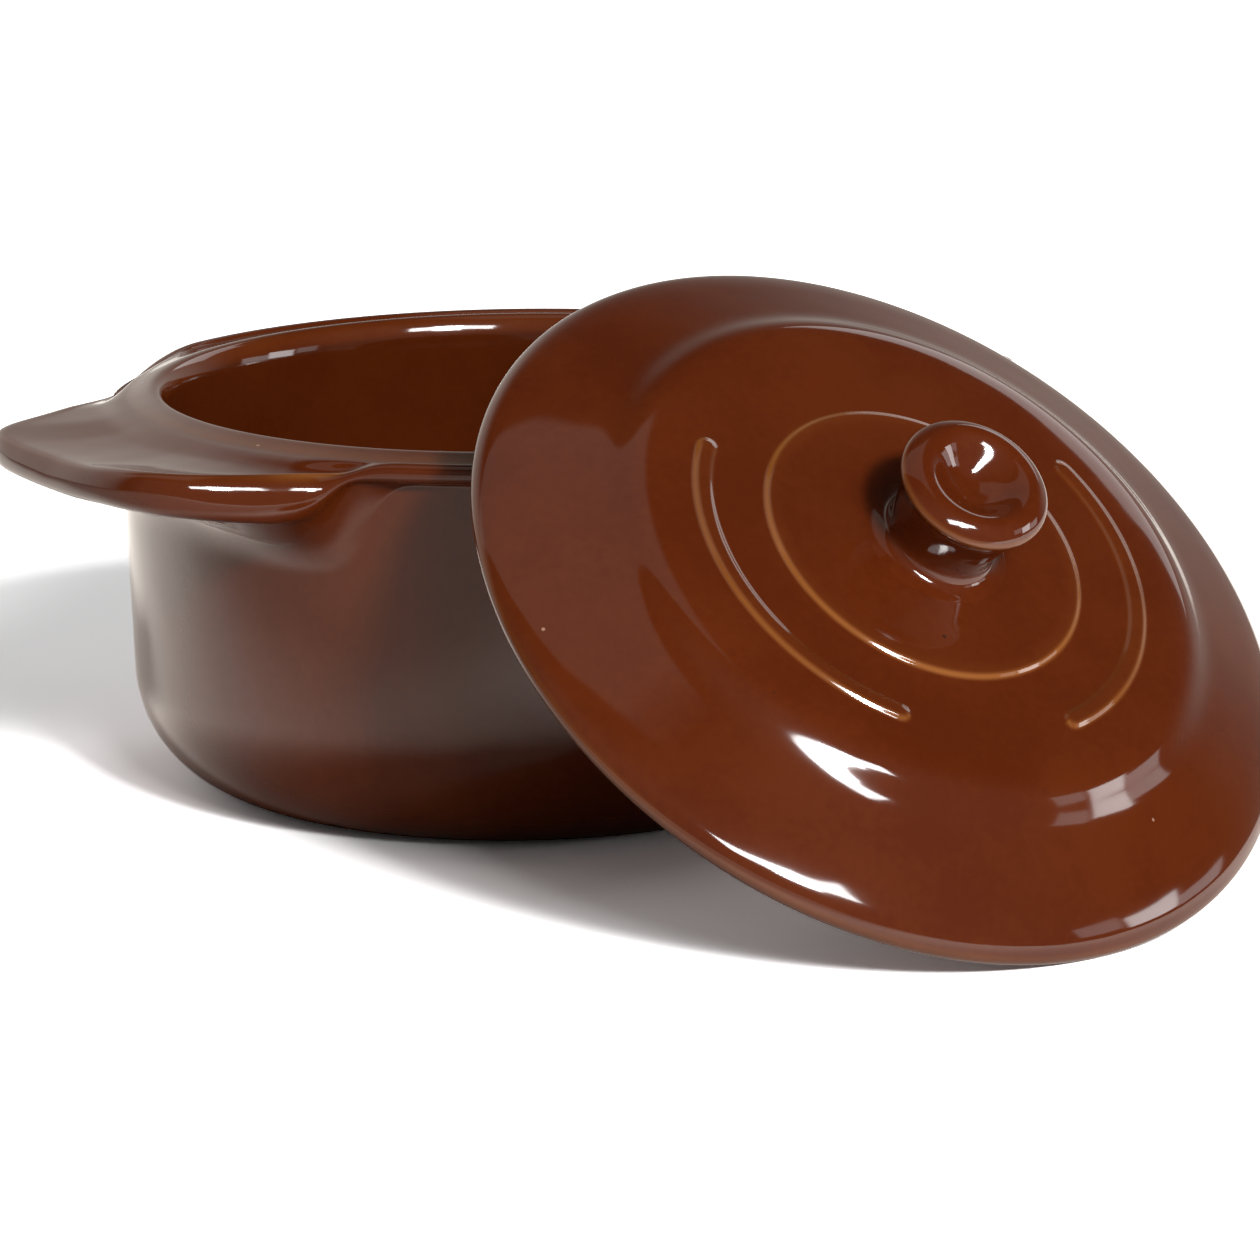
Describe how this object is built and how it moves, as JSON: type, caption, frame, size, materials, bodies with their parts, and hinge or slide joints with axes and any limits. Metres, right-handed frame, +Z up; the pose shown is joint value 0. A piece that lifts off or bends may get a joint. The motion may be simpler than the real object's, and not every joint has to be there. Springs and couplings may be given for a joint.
{
  "type": "mini cocotte",
  "caption": "Small round stoneware pot with ear handles at the rim and a domed lid with a flared knob leaning against it, in glossy brown glaze, for baking and serving one portion.",
  "frame": {"origin": "middle of the pot's flat underside, on the table", "axes": "+Z up along the pot's axis; X through the two handles; -Y to the side where the lid leans"},
  "size_m": [0.1278, 0.1575, 0.065],
  "materials": {
    "pot_glaze": "glossy dark red-brown glaze on stoneware, paler where it thins on edges",
    "lid_glaze": "glossy brown glaze on stoneware, amber where it thins on the raised ring and ribs"
  },
  "bodies": {
    "pot": {"pot": "pot_glaze", "handle_left": "pot_glaze", "handle_right": "pot_glaze"},
    "lid": {"lid": "lid_glaze", "knob": "lid_glaze"}
  },
  "joints": [
    {"name": "lid_lift", "type": "slide", "parent": "pot", "child": "lid", "axis": [0, 0, 1], "range_m": [0, 0.09]}
  ]
}
